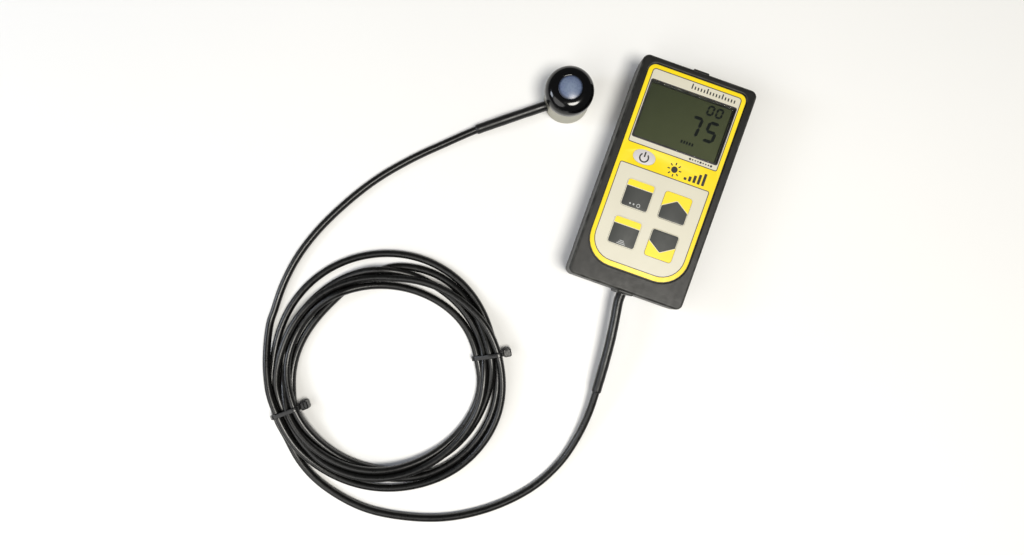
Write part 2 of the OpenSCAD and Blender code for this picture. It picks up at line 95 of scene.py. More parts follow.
class Nodes:
    """A material's node tree, with short ways to add and join nodes."""

    def __init__(self, name):
        self.material = bpy.data.materials.new(name)
        self.material.use_nodes = True
        self.tree = self.material.node_tree
        self.shader = self.tree.nodes["Principled BSDF"]
        self.output = self.tree.nodes["Material Output"]
        self.place = self.make("ShaderNodeTexCoord", {}, "Object")

    def feed(self, node, inputs):
        """Links each input to a socket, or sets it to a value."""
        for key, value in inputs.items():
            if isinstance(value, bpy.types.NodeSocket):
                self.tree.links.new(value, node.inputs[key])
            else:
                node.inputs[key].default_value = value

    def make(self, kind, inputs, out=0, **settings):
        """An output of a new node with those inputs and settings."""
        node = self.tree.nodes.new(kind)
        for key, value in settings.items():
            setattr(node, key, value)
        self.feed(node, inputs)
        return node.outputs[out]

    def noise(self, scale, detail=3.0, stretch=None):
        """Noise from 0 to 1 with scale features per metre."""
        place = self.place
        if stretch:
            place = self.make("ShaderNodeMapping", {"Vector": place, "Scale": stretch})
        return self.make("ShaderNodeTexNoise", {"Vector": place, "Scale": scale, "Detail": detail}, "Fac")

    def span(self, value, low=0.0, high=1.0, start=0.3, end=0.7):
        """value from start..end brought to low..high."""
        ends = {"From Min": start, "From Max": end, "To Min": low, "To Max": high}
        return self.make("ShaderNodeMapRange", {"Value": value, **ends}, "Result")

    def blend(self, share, first, second):
        """Colour between first and second, each an RGB tuple or a socket."""
        a, b = ((*c, 1) if isinstance(c, tuple) else c for c in (first, second))
        return self.make("ShaderNodeMix", {"Factor": share, 6: a, 7: b}, 2, data_type="RGBA")

    def maths(self, operation, *values):
        return self.make("ShaderNodeMath", dict(enumerate(values)), operation=operation)

    def vectors(self, operation, first, second, out=0):
        return self.make("ShaderNodeVectorMath", {0: first, 1: second}, out, operation=operation)

    def bump(self, height, depth, strength=1.0, **under):
        """Bump whose height reaches depth millimetres, over another bump given as Normal."""
        inputs = {"Height": height, "Distance": depth * MM, "Strength": strength}
        return self.make("ShaderNodeBump", {**inputs, **under}, "Normal")

    def surface(self, colour, roughness, bump=None, **uniform):
        """The material, with those sockets and with numbers that are the same all over it."""
        self.feed(self.shader, {"Base Color": colour, "Roughness": roughness})
        if bump is not None:
            self.feed(self.shader, {"Normal": bump})
        self.feed(self.shader, {name.replace("_", " "): value for name, value in uniform.items()})
        return self.material


def grained(name, dark, light, rough, grain=2500.0, depth=0.02, blotch=45.0, **uniform):
    """A moulded, cast or extruded surface: blotches of two near tones, fine grain and uneven gloss."""
    n = Nodes(name)
    colour = n.blend(n.span(n.noise(blotch, 5.0)), dark, light)
    roughness = n.span(n.noise(blotch * 6, 4.0), *rough)
    return n.surface(colour, roughness, n.bump(n.noise(grain, 2.0), depth), **uniform)


def metal(name, dark, light, rough, grain, depth, stretch=None):
    n = Nodes(name)
    colour = n.blend(n.span(n.noise(90.0, 4.0)), dark, light)
    roughness = n.span(n.noise(grain, 3.0, stretch), *rough)
    return n.surface(colour, roughness, n.bump(n.noise(grain, 2.0, stretch), depth, 0.6), Metallic=1.0)


def printed(name, colour, rough=(0.4, 0.48), shade=0.93):
    """Ink under a velvet-textured polyester film."""
    faded = tuple(c * shade for c in colour)
    return grained(name, faded, colour, rough, 3200.0, 0.008, 60.0, Specular_IOR_Level=0.4)


def moulded_case():
    """Spark-eroded grain: small pits between flat cells, over a slow waviness, paler where it is worn."""
    n = Nodes("case_plastic")
    colour = n.blend(n.span(n.noise(40.0, 5.0)), (0.0042, 0.0042, 0.0038), (0.0075, 0.0074, 0.0064))
    wear = n.make("ShaderNodeAttribute", {}, "Fac", attribute_name="wear")
    patchy = n.maths("MULTIPLY", wear, n.span(n.noise(240.0, 6.0), 0.1, 1.0, 0.4, 0.68))
    colour = n.blend(patchy, colour, (0.052, 0.052, 0.047))
    slow = n.bump(n.noise(70.0, 2.0), 0.05, 0.3)
    cells = n.make("ShaderNodeTexVoronoi", {"Vector": n.place, "Scale": 2100.0}, "Distance")
    pits = n.bump(cells, 0.035, 0.55, Normal=slow)
    return n.surface(colour, n.span(n.noise(320.0, 4.0), 0.4, 0.48), pits, Specular_IOR_Level=0.36)


def lcd_panel():
    """Reflective olive display, with painted shade that darkens it towards its far upper corner, and fine
    brushed lines.
    """
    n = Nodes("lcd")
    low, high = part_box("lcd_glass")
    # Painted shade: the colour darkens steadily across the panel towards its far upper corner.
    across = n.vectors("DOT_PRODUCT", n.place, (0.6, -0.8, 0), "Value")
    painted_shade_slope = n.span(across, 0.0, 1.0, 0.6 * low.x - 0.8 * high.y, 0.6 * high.x - 0.8 * low.y)
    colour = n.blend(painted_shade_slope, (0.036, 0.043, 0.018), (0.096, 0.105, 0.046))
    fine = n.blend(n.span(n.noise(900.0, 2.0, (1, 9, 1)), 0.0, 0.35), colour, (0.06, 0.072, 0.034))
    brushed = n.bump(n.noise(2600.0, 1.0, (1, 7, 1)), 0.006)
    return n.surface(fine, n.span(n.noise(500.0, 2.0), 0.38, 0.46), brushed, Specular_IOR_Level=0.3)


def clear_pane(name, tint, roughness):
    """A thin clear pane: light passes straight through, and gloss grows towards the rim of view."""
    n = Nodes(name)
    n.tree.nodes.remove(n.shader)
    smear = n.bump(n.noise(120.0, 4.0), 0.02, 0.08)
    gloss = n.make("ShaderNodeBsdfGlossy", {"Roughness": roughness, "Normal": smear})
    through = n.make("ShaderNodeBsdfTransparent", {"Color": (*tint, 1)})
    share = n.make("ShaderNodeFresnel", {"IOR": 1.49})
    n.feed(n.output, {"Surface": n.make("ShaderNodeMixShader", {0: share, 1: through, 2: gloss})})
    return n.material


def opal():
    """Blue-grey opal acrylic with painted shade: paler in the middle, darker out to the rim and darkest in a
    band at its edge, with faint turning rings.
    """
    n = Nodes("diffuser_acrylic")
    low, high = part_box("diffuser")
    centre = (low + high) / 2
    flat = n.vectors("MULTIPLY", n.place, (1, 1, 0))
    radius = n.vectors("DISTANCE", flat, (centre.x, centre.y, 0), "Value")
    # Painted shade: darker from the middle out to the rim.
    colour = n.blend(n.span(radius, 0.0, 1.0, 1.5 * MM, 6.8 * MM), (0.16, 0.2, 0.3), (0.075, 0.1, 0.19))
    colour = n.blend(n.span(n.noise(300.0, 4.0), 0.0, 0.25), colour, (0.2, 0.26, 0.33))
    # Painted shade: a dark band round the very edge of the lens.
    colour = n.blend(n.span(radius, 0.0, 1.0, 5.3 * MM, 6.4 * MM), colour, (0.012, 0.018, 0.035))
    turned = n.maths("SINE", n.maths("MULTIPLY", radius, 2 * math.pi / (0.9 * MM)))
    return n.surface(colour, n.span(n.noise(700.0, 3.0), 0.24, 0.32), n.bump(turned, 0.006, 0.5),
                     Subsurface_Weight=0.15, Subsurface_Radius=(0.002, 0.002, 0.003), Specular_IOR_Level=0.5)


def board_mask():
    """Green solder mask over copper tracks."""
    n = Nodes("board")
    tracks = n.make("ShaderNodeTexBrick", {
        "Vector": n.place, "Scale": 260.0, "Mortar Size": 0.06, "Color1": (0.006, 0.075, 0.032, 1),
        "Color2": (0.009, 0.09, 0.038, 1), "Mortar": (0.02, 0.15, 0.06, 1)}, "Color")
    relief = n.bump(tracks.node.outputs["Fac"], 0.03, 0.4)
    return n.surface(tracks, n.span(n.noise(300.0), 0.25, 0.35), relief)


def grey(tone):
    return tone, tone, tone


# Darker and lighter tone and the range of roughness, then grain per metre, its depth and blotches
# per metre where they differ from grained()'s own.
GRAINED = {
    "holder_plastic": (grey(0.01), grey(0.016), (0.4, 0.55)),
    "light_plastic": ((0.62, 0.57, 0.44), (0.7, 0.65, 0.52), (0.35, 0.5)),
    "elastomer": ((0.5, 0.16, 0.2), (0.6, 0.2, 0.25), (0.5, 0.65)),
    "components": ((0.012, 0.012, 0.014), (0.02, 0.02, 0.022), (0.4, 0.5)),
    "seal_rubber": (grey(0.012), grey(0.02), (0.6, 0.75)),
    "cable_rubber": (grey(0.0015), (0.0035, 0.0035, 0.0032), (0.25, 0.35), 1700.0, 0.02, 70.0),
    "sleeve_rubber": ((0.0035, 0.0035, 0.0038), grey(0.006), (0.3, 0.42), 900.0, 0.04),
    "tie_nylon": ((0.003, 0.003, 0.0035), (0.006, 0.006, 0.0065), (0.22, 0.34)),
    "wire": ((0.5, 0.09, 0.02), (0.6, 0.12, 0.03), (0.35, 0.45)),
    "cap_plastic": ((0.0012, 0.0012, 0.0014), (0.0024, 0.0024, 0.0026), (0.1, 0.16), 500.0, 0.004, 90.0),
    "potting": ((0.02, 0.02, 0.024), (0.03, 0.03, 0.034), (0.3, 0.45)),
}
# Two tones, the range of roughness, grain per metre, its depth and how it is stretched.
METALS = {
    "steel": ((0.5, 0.51, 0.53), (0.62, 0.63, 0.65), (0.22, 0.34), 1800.0, 0.01, (1, 6, 1)),
    "cell_steel": (grey(0.6), (0.68, 0.68, 0.67), (0.2, 0.3), 1500.0, 0.008),
    "gold_contact": ((0.75, 0.5, 0.18), (0.85, 0.6, 0.25), (0.2, 0.3), 1500.0, 0.008),
    "sensor_metal": ((0.37, 0.36, 0.3), (0.43, 0.42, 0.36), (0.36, 0.46), 3400.0, 0.02),
}
LOOKS = {
    "case_plastic": moulded_case(),
    "label_print": printed("label_yellow", (0.9, 0.68, 0.012), (0.36, 0.44)),
    "label_beige": printed("label_beige", (0.63, 0.6, 0.485), (0.38, 0.46), 0.96),
    "label_ink": printed("label_ink", (0.034, 0.028, 0.04)),
    "label_black": printed("label_black", (0.016, 0.015, 0.016)),
    "key_grey": printed("key_dark", (0.032, 0.035, 0.033), (0.4, 0.5), 0.85),
    "key_white": printed("key_lilac", (0.58, 0.555, 0.56), (0.38, 0.46), 0.95),
    "key_ink": printed("key_pale_ink", (0.42, 0.43, 0.43), (0.4, 0.5)),
    "window_clear": clear_pane("window_clear", (0.93, 0.945, 0.92), 0.12),
    "lcd": lcd_panel(),
    "lcd_segment": grained("lcd_segment", (0.0005, 0.003, 0.003), (0.001, 0.004, 0.004), (0.5, 0.6),
                           Specular_IOR_Level=0.12),
    "lcd_shadow": printed("lcd_shadow", (0.03, 0.036, 0.017), (0.4, 0.5)),
    "board": board_mask(),
    "diffuser_acrylic": opal(),
    "filter_glass": clear_pane("filter_glass", (0.45, 0.7, 0.8), 0.05),
    **{name: grained(name, *look) for name, look in GRAINED.items()},
    **{name: metal(name, *look) for name, look in METALS.items()},
}

SLOT_OF = {part["node"]: part["material_slot"] for part in frame["record"]["subparts"]}
BEVEL_WIDTH = 0.12


def dress_cad_nodes():
    """Every carried-over CAD node gets its material, and small rounded edges."""
    for name, node in frame["nodes"].items():
        node.data.materials.clear()
        node.data.materials.append(LOOKS[SLOT_OF[name]])
        bevel = node.modifiers.new("edges", "BEVEL")
        bevel.width = BEVEL_WIDTH * MM
        bevel.segments = 2
        bevel.limit_method = "ANGLE"
        bevel.angle_limit = math.radians(50)
        bevel.harden_normals = False


dress_cad_nodes()

# ---------------------------------------------------------------- shape tools


def heading(degrees):
    """Unit vector that many degrees round from the x axis."""
    return np.array((math.cos(math.radians(degrees)), math.sin(math.radians(degrees))))


def unit(vector):
    """The vector, or each row of vectors, scaled to a length of 1."""
    return vector / np.linalg.norm(vector, axis=-1, keepdims=True)


def arc(x, y, r, start, end, steps):
    """Points on an arc, angles in degrees, both ends included."""
    return [(x + r * c, y + r * s) for c, s in map(heading, np.linspace(start, end, steps + 1))]


def outline(x0, x1, y0, y1, top_r, bottom_r=None, steps=8, side=8):
    """Rectangle with round corners, counter-clockwise from the bottom right corner.

    All outlines with the same steps and side match point for point, so they can be lofted.
    """
    bottom_r = top_r if bottom_r is None else bottom_r
    corners = [(x1 - bottom_r, y0 + bottom_r, bottom_r, -90), (x1 - top_r, y1 - top_r, top_r, 0),
               (x0 + top_r, y1 - top_r, top_r, 90), (x0 + bottom_r, y0 + bottom_r, bottom_r, 180)]
    arcs = [arc(x, y, r, start, start + 90, steps) for x, y, r, start in corners]
    points = []
    for this, following in zip(arcs, arcs[1:] + arcs[:1]):
        points += this
        a, b = np.array(this[-1]), np.array(following[0])
        points += [tuple(a + (b - a) * k / side) for k in range(1, side)]
    return points


def round_box(box, grow, *radii, **detail):
    """Outline of a (lowest, highest) box seen from above, grown by some millimetres."""
    low, high = box
    return outline(low[0] - grow, high[0] + grow, low[1] - grow, high[1] + grow, *radii, **detail)


def centred(w, h, r, steps=3, side=1):
    """Rectangle with round corners about the origin."""
    return outline(-w / 2, w / 2, -h / 2, h / 2, r, steps=steps, side=side)


def disc(x, y, r, steps=24):
    return arc(x, y, r, 0, 360, steps)[:-1]


def bar(x, y, w, h, r=0.08, turn=0.0):
    """Small bar with round corners about its centre, turned by some degrees."""
    c, s = heading(turn)
    return [(x + px * c - py * s, y + px * s + py * c) for px, py in centred(w, h, r)]


def open_ring(x, y, r, width, start, end, steps=36):
    """Outline of a ring of that width, open from end round to start."""
    return arc(x, y, r + width / 2, start, end, steps) + arc(x, y, r - width / 2, end, start, steps)


def round_corners(points, steps):
    """A 2D polygon of (x, y, radius) with its corners rounded."""
    made = []
    for i, (x, y, r) in enumerate(points):
        here = np.array((x, y))
        before = unit(np.array(points[i - 1][:2]) - here)
        after = unit(np.array(points[(i + 1) % len(points)][:2]) - here)
        half = math.acos(before @ after) / 2
        centre = here + unit(before + after) * r / math.sin(half)
        reach = r / math.tan(half)
        first, last = here + before * reach - centre, here + after * reach - centre
        start, end = (math.degrees(math.atan2(way[1], way[0])) for way in (first, last))
        made += arc(*centre, r, start, start + (end - start + 180) % 360 - 180, steps)
    return made


def grown(points, step):
    """A convex outline moved outwards by step."""
    p = np.array(points)
    ahead = unit(np.roll(p, -1, axis=0) - np.roll(p, 1, axis=0))
    return [tuple(q) for q in p + step * np.stack([ahead[:, 1], -ahead[:, 0]], axis=1)]


def bridged(rings, count, loop=False):
    """Faces between so many rings of count points, and from the last ring to the first in a loop."""
    return [(i * count + k, i * count + (k + 1) % count,
             (i + 1) % rings * count + (k + 1) % count, (i + 1) % rings * count + k)
            for i in range(rings if loop else rings - 1) for k in range(count)]


def loft(rings, closed=False):
    """(points, faces) through rings of 2D outlines, each given as (outline, z)."""
    count = len(rings[0][0])
    points = [(x, y, z) for shape, z in rings for x, y in shape]
    faces = bridged(len(rings), count, closed)
    if not closed:
        faces += [tuple(range(count))[::-1], tuple(range(len(points) - count, len(points)))]
    return points, faces


def lathe(profile, centre, steps):
    """(points, faces) of a (radius, z) profile turned about a vertical axis.

    The profile starts and ends on the axis, or else it is a closed loop beside it.
    """
    return loft([(disc(*centre, r, steps), z) for r, z in profile], closed=profile[0][0] > 0)


def rod(start, end, r, sides=40, tip=None):
    """A capped cylinder between two points, or a cone where tip is its end radius."""
    start, end = np.array(start, float), np.array(end, float)
    along = unit(end - start)
    side = unit(np.cross(along, (0, 0, 1) if abs(along[2]) < 0.9 else (1, 0, 0)))
    up = np.cross(along, side)
    points = [at + rr * (math.cos(a) * side + math.sin(a) * up)
              for at, rr in ((start, r), (end, r if tip is None else tip))
              for a in np.linspace(0, 2 * math.pi, sides, endpoint=False)]
    caps = [tuple(range(sides))[::-1], tuple(range(sides, 2 * sides))]
    return mesh_of(points, bridged(2, sides) + caps)


def posts(places, low, high, r, tip=None):
    """Upright rods between two heights."""
    return [rod((x, y, low), (x, y, high), r, tip=tip) for x, y in places]


def mesh_of(points, faces):
    """A mesh in millimetres with outward normals."""
    mesh = bpy.data.meshes.new("mesh")
    mesh.from_pydata([tuple(map(float, p)) for p in points], [], faces)
    return tidied(mesh)


def tidied(mesh):
    """Double points and faces without area are taken out, and normals turned outwards."""
    work = bmesh.new()
    work.from_mesh(mesh)
    bmesh.ops.remove_doubles(work, verts=work.verts, dist=1e-4)
    bmesh.ops.dissolve_degenerate(work, edges=work.edges, dist=1e-5)
    bmesh.ops.recalc_face_normals(work, faces=work.faces)
    work.to_mesh(mesh)
    work.free()
    return mesh


def placed(name, data):
    """A new object of the scene that shows this mesh, curve or light."""
    made = bpy.data.objects.new(name, data)
    bpy.context.scene.collection.objects.link(made)
    return made


def evaluated(holder):
    """The mesh that an object comes to."""
    return bpy.data.meshes.new_from_object(holder.evaluated_get(bpy.context.evaluated_depsgraph_get()))


def combined(mesh, others, operation):
    """The mesh joined with, or cut by, the other meshes, all in millimetres."""
    base = placed("base", mesh)
    tools = [placed("tool", other) for other in others]
    for tool in tools:
        step = base.modifiers.new("step", "BOOLEAN")
        step.object = tool
        step.operation = operation
        step.solver = "EXACT"
    made = evaluated(base)
    for extra in [base, *tools]:
        bpy.data.objects.remove(extra)
    return made


def piece(name, mesh, look, body="meter", slot=None, replaces=(), sharp=35.0):
    """Puts a millimetre mesh into the scene in metres, on its body and with its material.

    The slot argument is not used.
    """
    mesh.transform(((MM, 0, 0, 0), (0, MM, 0, 0), (0, 0, MM, 0), (0, 0, 0, 1)))
    mesh.name = name
    mesh.materials.clear()
    mesh.materials.append(LOOKS[look])
    mesh.shade_smooth()
    mesh.set_sharp_from_angle(angle=math.radians(sharp))
    made = placed(name, mesh)
    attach(made, body)
    if replaces:
        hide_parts(*replaces)
    return made


def curve_object(name, lines, closed, **settings):
    """A curve object of straight runs through lists of 3D points."""
    curve = bpy.data.curves.new(name, "CURVE")
    for key, value in settings.items():
        setattr(curve, key, value)
    for line in lines:
        spline = curve.splines.new("POLY")
        spline.points.add(len(line) - 1)
        for point, place in zip(spline.points, line):
            point.co = (*place, 1)
        spline.use_cyclic_u = closed
    return placed(name, curve)


def film_mesh(loops, low, high, holes=(), edge=0.0):
    """A flat plate between two heights with the given outlines and holes, both counter-clockwise."""
    lines = [[(x, y, 0) for x, y in loop] for loop in [*loops, *(hole[::-1] for hole in holes)]]
    holder = curve_object("film", lines, True, dimensions="2D", fill_mode="BOTH", bevel_resolution=2,
                          extrude=(high - low) / 2 - edge, bevel_depth=edge, offset=-edge)
    bpy.context.view_layer.update()
    mesh = evaluated(holder)
    bpy.data.objects.remove(holder)
    for vertex in mesh.vertices:
        vertex.co.z += (low + high) / 2
    return tidied(mesh)


def film(name, loops, low, high, look, holes=(), edge=0.0, **more):
    return piece(name, film_mesh(loops, low, high, holes, edge), look, **more)


def joined(meshes):
    """Several meshes as the loose parts of one."""
    work = bmesh.new()
    for mesh in meshes:
        work.from_mesh(mesh)
    made = bpy.data.meshes.new("joined")
    work.to_mesh(made)
    work.free()
    return made


# ---------------------------------------------------------------- cable

CABLE_R = 2.1
METER_LEAD = [
    (1, -64.0, 12), (1, -69, 12), (2.6, -79, 11.9), (4.4, -92, 11.2), (5.8, -106, 9.8), (7, -121, 7.8),
    (7.6, -134, 5.8), (6.4, -149, 3.8), (2, -167, 2.4), (-8.4, -186, 2.1), (-26, -204, 2.1),
    (-48, -218, 2.1), (-72, -226, 2.1), (-96, -229, 2.1), (-120, -225, 2.1), (-138, -216.5, 2.1),
    (-153, -203, 2.1),
]
SENSOR_LEAD = [
    (-74.4, 22.4, 5.2), (-82, 16.4, 5.2), (-94.5, 6.6, 4.8), (-107, -3.2, 3.8), (-121, -16, 2.6),
    (-136.5, -31, 2.1), (-151.6, -48.8, 2.1), (-164, -68.4, 2.1), (-174, -89, 2.1), (-180, -109, 2.1),
    (-182, -130, 2.1), (-180, -150, 2.1), (-174, -169, 2.1),
]
METER_SLEEVE_POINTS = 6
SENSOR_SLEEVE_POINTS = 4

COIL_CENTRE = np.array((-108.0, -152.0))
COIL_STEP = 3                 # degrees from one point of the coil to the next
COIL_FROM = 228               # degrees at which the meter's lead joins the coil
COIL_TO = 174 - 5 * 360       # and five turns on, at which the sensor's lead leaves it
LEAD_REACH = 48               # degrees of each lead that lie beside the coil
LEAD_TAIL = 70                # points of a lead's curve that cover them
# Stations of each turn from the meter's end to the sensor's: angle, radius and how many layers up it
# lies. The turns run clockwise and cross over and under each other.
TURNS = (
    ((220, 66.9, 0), (190, 65.5, 0), (160, 68.4, 0), (145, 69.2, 0), (95, 69.4, 0), (70, 67.5, 0),
     (50, 64.7, 0), (40, 62.4, 0), (30, 61.2, 0), (10, 63.7, 0), (-5, 64.3, 0), (-40, 63.6, 0),
     (-50, 62.5, 0), (-70, 58.9, 0)),
    ((220, 58.4, 0), (180, 52.8, 0), (160, 51.1, 0), (150, 51.2, 0), (140, 52.6, 0), (110, 61, 0),
     (100, 62.9, 0), (80, 64.4, 0), (70, 63.9, 0), (52, 60.4, 0.2), (44, 59.2, 0.9), (30, 59.1, 1),
     (20, 57.9, 1), (-20, 56.4, 0), (-75, 54.8, 0), (-110, 55.3, 0.1)),
    ((220, 56.1, 1), (190, 57.6, 0.7), (170, 57.3, 0.3), (140, 53.8, 1), (110, 50.3, 0), (80, 50.1, 0),
     (60, 51.8, 0), (40, 54, 0.9), (20, 55.2, 0.8), (0, 53.8, 0.1), (-20, 52.7, 0), (-40, 52.5, 0),
     (-70, 54.4, 0.9), (-125, 59.2, 1)),
    ((205, 60.9, 0.8), (190, 61, 0.1), (140, 60.3, 0.3), (128, 59.8, 1), (102, 58.8, 0.7),
     (92, 57.4, 0.1), (40, 56.6, 0), (30, 57, 0), (0, 55.8, 0.9), (-20, 54.9, 1), (-50, 56, 1),
     (-90, 60.3, 1)),
    ((220, 62.6, 0), (190, 60.6, 1), (160, 59.9, 1), (130, 57, 1.2), (105, 55.9, 1), (90, 56.5, 1),
     (70, 58.9, 1), (50, 62.2, 1.1), (30, 63.4, 1), (10, 67, 0.6), (-5, 67.8, 0.5), (-35, 66, 0.8),
     (-62, 65.3, 0.1), (-90, 65.6, 0)),
    ((210, 65.3, 1.1), (200, 66.2, 1.1), (188, 68.5, 0.8), (182, 70.6, 0.3)),
)
ROUNDS = 300          # of settling the coil
QUIET_ROUNDS = 25     # the last ones, with next to no pull and no sinking
TIES = {"tie_left": 220, "tie_right": 30}
TIE_W = 2.6
TIE_T = 1.1
TIE_SPREAD = 9.0      # degrees over which the turns rise over a tie
OUTERMOST = 71        # a strand further out than this is a free lead, outside the ties
LAYER_UP = 3.4        # height from one layer of turns to the next


def curve_through(points, per_span=8):
    """A smooth line through the points."""
    p = np.array(points, float)
    padded = np.vstack([p[0], p, p[-1]])
    made = []
    for i in range(len(p) - 1):
        a, b, c, d = padded[i:i + 4]
        for t in np.linspace(0, 1, per_span, endpoint=False):
            made.append(0.5 * (2 * b + (c - a) * t + (2 * a - 5 * b + 4 * c - d) * t ** 2
                               + (3 * b - a - 3 * c + d) * t ** 3))
    return np.array(made + [p[-1]])


def polar(points):
    """Angle in degrees and radius about the coil's centre."""
    flat = points[:, :2] - COIL_CENTRE
    return np.degrees(np.unwrap(np.arctan2(flat[:, 1], flat[:, 0]))), np.linalg.norm(flat, axis=1)


def lead_track(lead, angles):
    """Radius and height of a lead's last stretch at each of these angles."""
    line = curve_through(lead)[-LEAD_TAIL:]
    at, radius = polar(line)
    at += 360 * round((angles[0] - at[-1]) / 360)
    order = np.argsort(at)
    return np.interp(angles, at[order], radius[order]), np.interp(angles, at[order], line[order, 2])


def coil_track():
    """Angle, radius and height along the coil and the leads beside it, settled so that turns touch
    and don't cut into each other. Angles fall along the cable, and np.interp needs them to rise, so
    it works on negated numbers.
    """
    free = np.arange(COIL_FROM, COIL_TO - 1, -COIL_STEP)
    before = np.arange(COIL_FROM + LEAD_REACH, COIL_FROM, -COIL_STEP)
    after = np.arange(COIL_TO - COIL_STEP, COIL_TO - LEAD_REACH - 1, -COIL_STEP)
    meter_r, meter_z = lead_track(METER_LEAD, before)
    sensor_r, sensor_z = lead_track(SENSOR_LEAD, after)
    stations = [(COIL_FROM, meter_r[-1], 0)]
    stations += [(a - 360 * turn, r, lift) for turn, rows in enumerate(TURNS) for a, r, lift in rows]
    stations = -np.array(stations + [(COIL_TO, sensor_r[0], 0)]).T
    target, lift = (-np.interp(-free, stations[0], row) for row in stations[1:])
    angle = np.concatenate([before, free, after]).astype(float)
    r = np.concatenate([meter_r, target, sensor_r])
    z = np.concatenate([meter_z, CABLE_R + LAYER_UP * lift, sensor_z])
    wanted = r.copy()
    loose = np.zeros(len(angle), bool)
    loose[len(before) + 1:len(before) + len(free) - 1] = True
    under_tie = sum(np.exp(-(((angle - a + 180) % 360 - 180) / TIE_SPREAD) ** 2) for a in TIES.values())
    floor = CABLE_R + (TIE_T + 0.1) * under_tie
    return settle(angle, r, z, wanted, floor, loose)


def settle(angle, r, z, wanted, floor, loose):
    """Pushes turns apart where they cut into each other, lets them sink and keeps them smooth."""
    turn = 360 // COIL_STEP
    gap = 2 * CABLE_R + 0.05
    fixed_r, fixed_z = r[~loose].copy(), z[~loose].copy()
    for step in range(ROUNDS):
        pull, sink = (0.02, 0) if step > ROUNDS - QUIET_ROUNDS else (0.14, 0.03)
        r += pull * (wanted - r) * loose
        z -= sink * loose
        for track, ease in ((r, 0.2), (z, 0.25)):
            for _ in range(2):
                track[1:-1] += ease * (track[:-2] - 2 * track[1:-1] + track[2:]) * loose[1:-1]
        for _ in range(4):
            for k in range(1, len(TURNS)):
                dr = r[k * turn:] - r[:-k * turn]
                dz = z[k * turn:] - z[:-k * turn]
                apart = np.hypot(dr, dz) + 1e-9
                push = np.clip(gap - apart, 0, None) * 0.5
                dr, dz = dr / apart * push, dz / apart * push
                r[k * turn:] += dr
                z[k * turn:] += dz
                r[:-k * turn] -= dr
                z[:-k * turn] -= dz
            r[~loose], z[~loose] = fixed_r, fixed_z
            z = np.where(loose, np.maximum(z, floor), z)
    return angle, r, z


def evened(line, step):
    """The line again, with points that far apart."""
    along = np.concatenate([[0], np.cumsum(np.linalg.norm(np.diff(line, axis=0), axis=1))])
    at = np.linspace(0, along[-1], int(along[-1] / step) + 1)
    return np.stack([np.interp(at, along, line[:, k]) for k in range(3)], axis=1)


def cable_line(angle, r, z):
    """The whole cable's centreline, from the meter to the sensor head."""
    turns = np.stack([COIL_CENTRE[0] + r * np.cos(np.radians(angle)),
                      COIL_CENTRE[1] + r * np.sin(np.radians(angle)), z], axis=1)
    meter, sensor = curve_through(METER_LEAD), curve_through(SENSOR_LEAD)
    start = int(np.argmin(np.linalg.norm(meter - turns[0], axis=1)))
    end = int(np.argmin(np.linalg.norm(sensor - turns[-1], axis=1)))
    line = evened(np.vstack([meter[:start], turns, sensor[:end][::-1]]), 1.0)
    for _ in range(12):
        line[1:-1] += 0.25 * (line[:-2] - 2 * line[1:-1] + line[2:])
    return evened(line, 2.2)


def add_cable(line):
    cable = curve_object("cable", [line * MM], False, dimensions="3D", bevel_depth=CABLE_R * MM,
                         bevel_resolution=6, use_fill_caps=True)
    cable.data.splines[0].use_smooth = True
    cable.data.materials.append(LOOKS["cable_rubber"])
    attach(cable, "meter")
    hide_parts("meter_lead", "cable_coil", "sensor_lead")
    return cable


def tube(line, outer, inner, sides):
    """A pipe along a line with those outer and inner radii."""
    ahead = unit(np.gradient(line, axis=0))
    side = unit(np.cross(ahead, (0, 0, 1)))
    up = np.cross(side, ahead)
    around = [heading(360 * k / sides) for k in range(sides)]
    there = range(len(line))
    points = [line[i] + radii[i] * (c * side[i] + s * up[i])
              for radii, way in ((outer, there), (inner, there[::-1])) for i in way for c, s in around]
    return mesh_of(points, bridged(2 * len(line), sides, loop=True))


def add_sleeve(name, node, lead, count):
    """Shrink sleeve: a thin tube that tapers onto the cable, with faint rings where it shrank."""
    spacing, full_r, end_r, taper = 0.5, 2.75, 2.3, 1.6
    line = evened(curve_through(lead[:count]), spacing)
    along = np.linspace(0, 1, len(line)) * spacing * len(line)
    radius = full_r + 0.035 * np.sin(along / 3.1) + 0.02 * np.sin(along / 1.3 + 1.0)
    rim = np.clip((along[-1] - along) / taper, 0, 1)
    radius = end_r + (radius - end_r) * np.sqrt(rim * (2 - rim))
    mesh = tube(line, radius, np.full(len(line), CABLE_R + 0.03), 24)
    return piece(name, mesh, "sleeve_rubber", replaces=(node,))


def hull_of(points):
    """Convex hull, counter-clockwise."""
    points = sorted(set(map(tuple, np.round(points, 4))))

    def half(sequence):
        kept = []
        for p in sequence:
            while len(kept) > 1 and ((kept[-1][0] - kept[-2][0]) * (p[1] - kept[-2][1])
                                     - (kept[-1][1] - kept[-2][1]) * (p[0] - kept[-2][0])) <= 0:
                kept.pop()
            kept.append(p)
        return kept[:-1]

    return half(points) + half(points[::-1])


def strap_mesh(degrees, strands):
    """A closed band round the strands, hugging the outermost ones, and its path."""
    reach = CABLE_R + 0.1 + TIE_T / 2       # from a strand's middle to the middle of the band
    path = np.array(hull_of([point for r, z in strands for point in disc(r, z, reach, 40)]))
    closed = np.vstack([path, path[:1]])
    path = evened(np.column_stack([closed, np.zeros(len(closed))]), 0.7)[:-1, :2]
    ahead = unit(np.roll(path, -1, axis=0) - np.roll(path, 1, axis=0))
    out, side = heading(degrees), heading(degrees + 90)
    section = centred(TIE_W, TIE_T, 0.3, 3, 2)
    points = [(*(COIL_CENTRE + out * (r + way[1] * thick) + side * across), z - way[0] * thick)
              for (r, z), way in zip(path, ahead) for across, thick in section]
    return mesh_of(points, bridged(len(path), len(section), loop=True)), path


